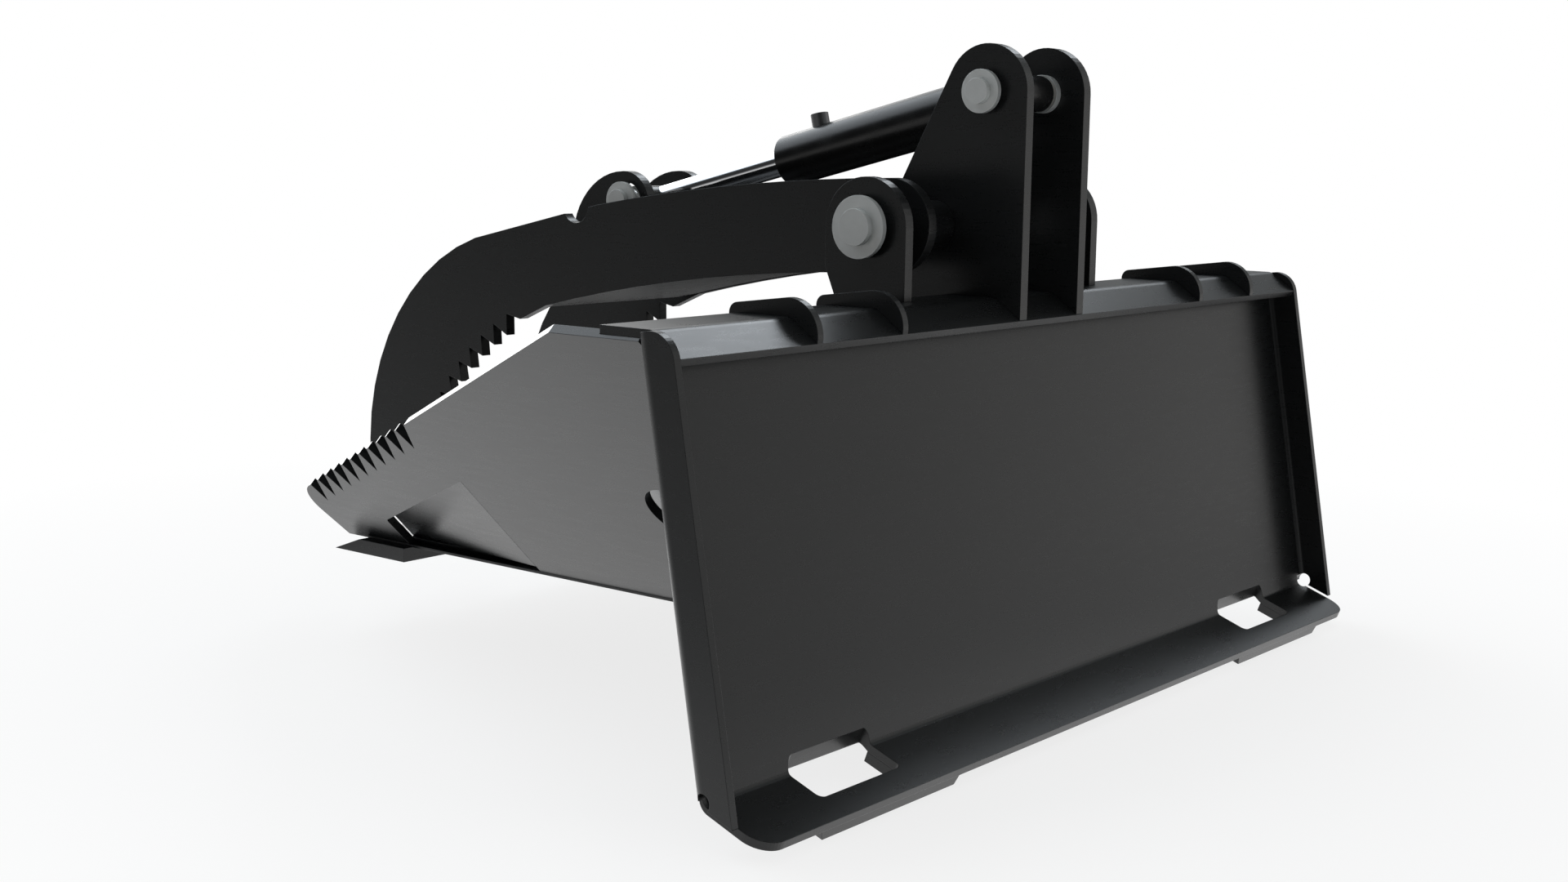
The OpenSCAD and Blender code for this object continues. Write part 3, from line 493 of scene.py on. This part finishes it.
def studio_light(tree, stage):
    """Colour of the studio in each direction: walls and ceiling, dark cloths and soft boxes."""
    direction = tree.add("ShaderNodeTexCoord").outputs["Generated"]
    upward = tree.add("ShaderNodeSeparateXYZ", {"Vector": direction}).outputs["Z"]
    ramp = tree.add("ShaderNodeValToRGB", {"Fac": tree.to_range(upward, (-1.0, 1.0), (0.0, 1.0))})
    # Height from 0 (straight down) over 0.5 (level) to 1 (straight up), brightness, tint
    levels = (
        (0.30, stage.floor_light, (1.0, 0.98, 0.94)),
        (0.475, stage.wall_light, WHITE),
        (0.52, stage.upper_wall_light, WHITE),
        (0.75, stage.ceiling_light, (0.94, 0.99, 1.0)),
    )
    stops = ramp.color_ramp.elements
    for height, _, _ in levels[1:-1]:
        stops.new(height)
    for stop, (height, brightness, tint) in zip(stops, levels):
        stop.position = height
        stop.color = (*[brightness * c for c in tint], 1)
    light = ramp.outputs["Color"]
    for towards, cosines, left in DARK_CLOTHS:
        light = tree.scale_light(light, tree.nearness(direction, towards, cosines, (1.0, left)))
    for towards, cosines, brightness, color in SOFT_BOXES:
        amount = tree.nearness(direction, towards, cosines, (0.0, brightness))
        light = tree.add_light(light, tree.scale_light(color, amount))
    return light


def studio_world(stage):
    """White background for the camera; the studio for light and reflections."""
    world = bpy.data.worlds.new("studio")
    bpy.context.scene.world = world
    world.use_nodes = True
    tree = ShaderTree(world.node_tree)
    tree.nodes.clear()
    studio = tree.add("ShaderNodeBackground", {"Color": studio_light(tree, stage)})
    white = tree.add("ShaderNodeBackground", {"Color": (*WHITE, 1)})
    both = tree.add("ShaderNodeMixShader", {
        "Fac": seen_directly(tree, tree.add("ShaderNodeLightPath")),
        1: studio.outputs["Background"], 2: white.outputs["Background"]})
    tree.add("ShaderNodeOutputWorld", {"Surface": both.outputs["Shader"]})


class STUMP_OT_stage(bpy.types.Operator):
    """Add the pale floor, the studio's light and the white background"""

    bl_idname = "stump.stage"
    bl_label = "Set up the stage"

    def execute(self, context):
        stage = context.scene.stump_stage
        bpy.ops.object.select_all(action="DESELECT")
        bpy.ops.mesh.primitive_circle_add(
            vertices=FLOOR_SIDES, radius=stage.floor_radius, fill_type="NGON")
        floor = context.object
        floor.name = "floor"
        floor.location = (0, FLOOR_MIDDLE_Y, CAD_BOX[0].z - FLOOR_GAP)
        floor.data.materials.append(floor_material(stage))
        studio_world(stage)
        context.scene.view_settings.view_transform = "Standard"
        return {"FINISHED"}


class STUMP_OT_camera(bpy.types.Operator):
    """Add the camera at the photograph's viewing angle"""

    bl_idname = "stump.camera"
    bl_label = "Add the camera"

    def execute(self, context):
        data = bpy.data.cameras.new("view_from_loader")
        data.sensor_width = SENSOR_WIDTH
        data.lens = context.scene.stump_stage.lens
        camera = bpy.data.objects.new("view_from_loader", data)
        turn = Matrix((CAMERA_RIGHT, CAMERA_UP, CAMERA_BACK)).transposed()
        camera.matrix_world = Matrix.Translation(CAMERA_PLACE) @ turn.to_4x4()
        context.scene.collection.objects.link(camera)
        context.scene.camera = camera
        return {"FINISHED"}


STEPS = [
    STUMP_OT_camera, STUMP_OT_plate_finish, STUMP_OT_cylinder_finish, STUMP_OT_pin_finish,
    STUMP_OT_stage,
]


class STUMP_PT_panel(bpy.types.Panel):
    """Steps and settings of the stump grapple"""

    bl_idname = "STUMP_PT_panel"
    bl_label = "Stump grapple"
    bl_space_type = "VIEW_3D"
    bl_region_type = "UI"
    bl_category = "Stump grapple"

    def draw(self, context):
        for group in (context.scene.stump_finish, context.scene.stump_stage):
            box = self.layout.box()
            for key in group.__annotations__:
                box.prop(group, key)
        for step in STEPS:
            self.layout.operator(step.bl_idname)


CLASSES = [StumpGrappleFinish, StumpGrappleStage, *STEPS, STUMP_PT_panel]


def register():
    for cls in CLASSES:
        bpy.utils.register_class(cls)
    bpy.types.Scene.stump_finish = PointerProperty(type=StumpGrappleFinish)
    bpy.types.Scene.stump_stage = PointerProperty(type=StumpGrappleStage)


def unregister():
    del bpy.types.Scene.stump_stage
    del bpy.types.Scene.stump_finish
    for cls in reversed(CLASSES):
        bpy.utils.unregister_class(cls)


def main():
    register()
    bpy.ops.stump.camera()
    bpy.ops.stump.plate_finish()
    bpy.ops.stump.cylinder_finish()
    bpy.ops.stump.pin_finish()
    bpy.ops.stump.stage()


if __name__ == "__main__":
    main()
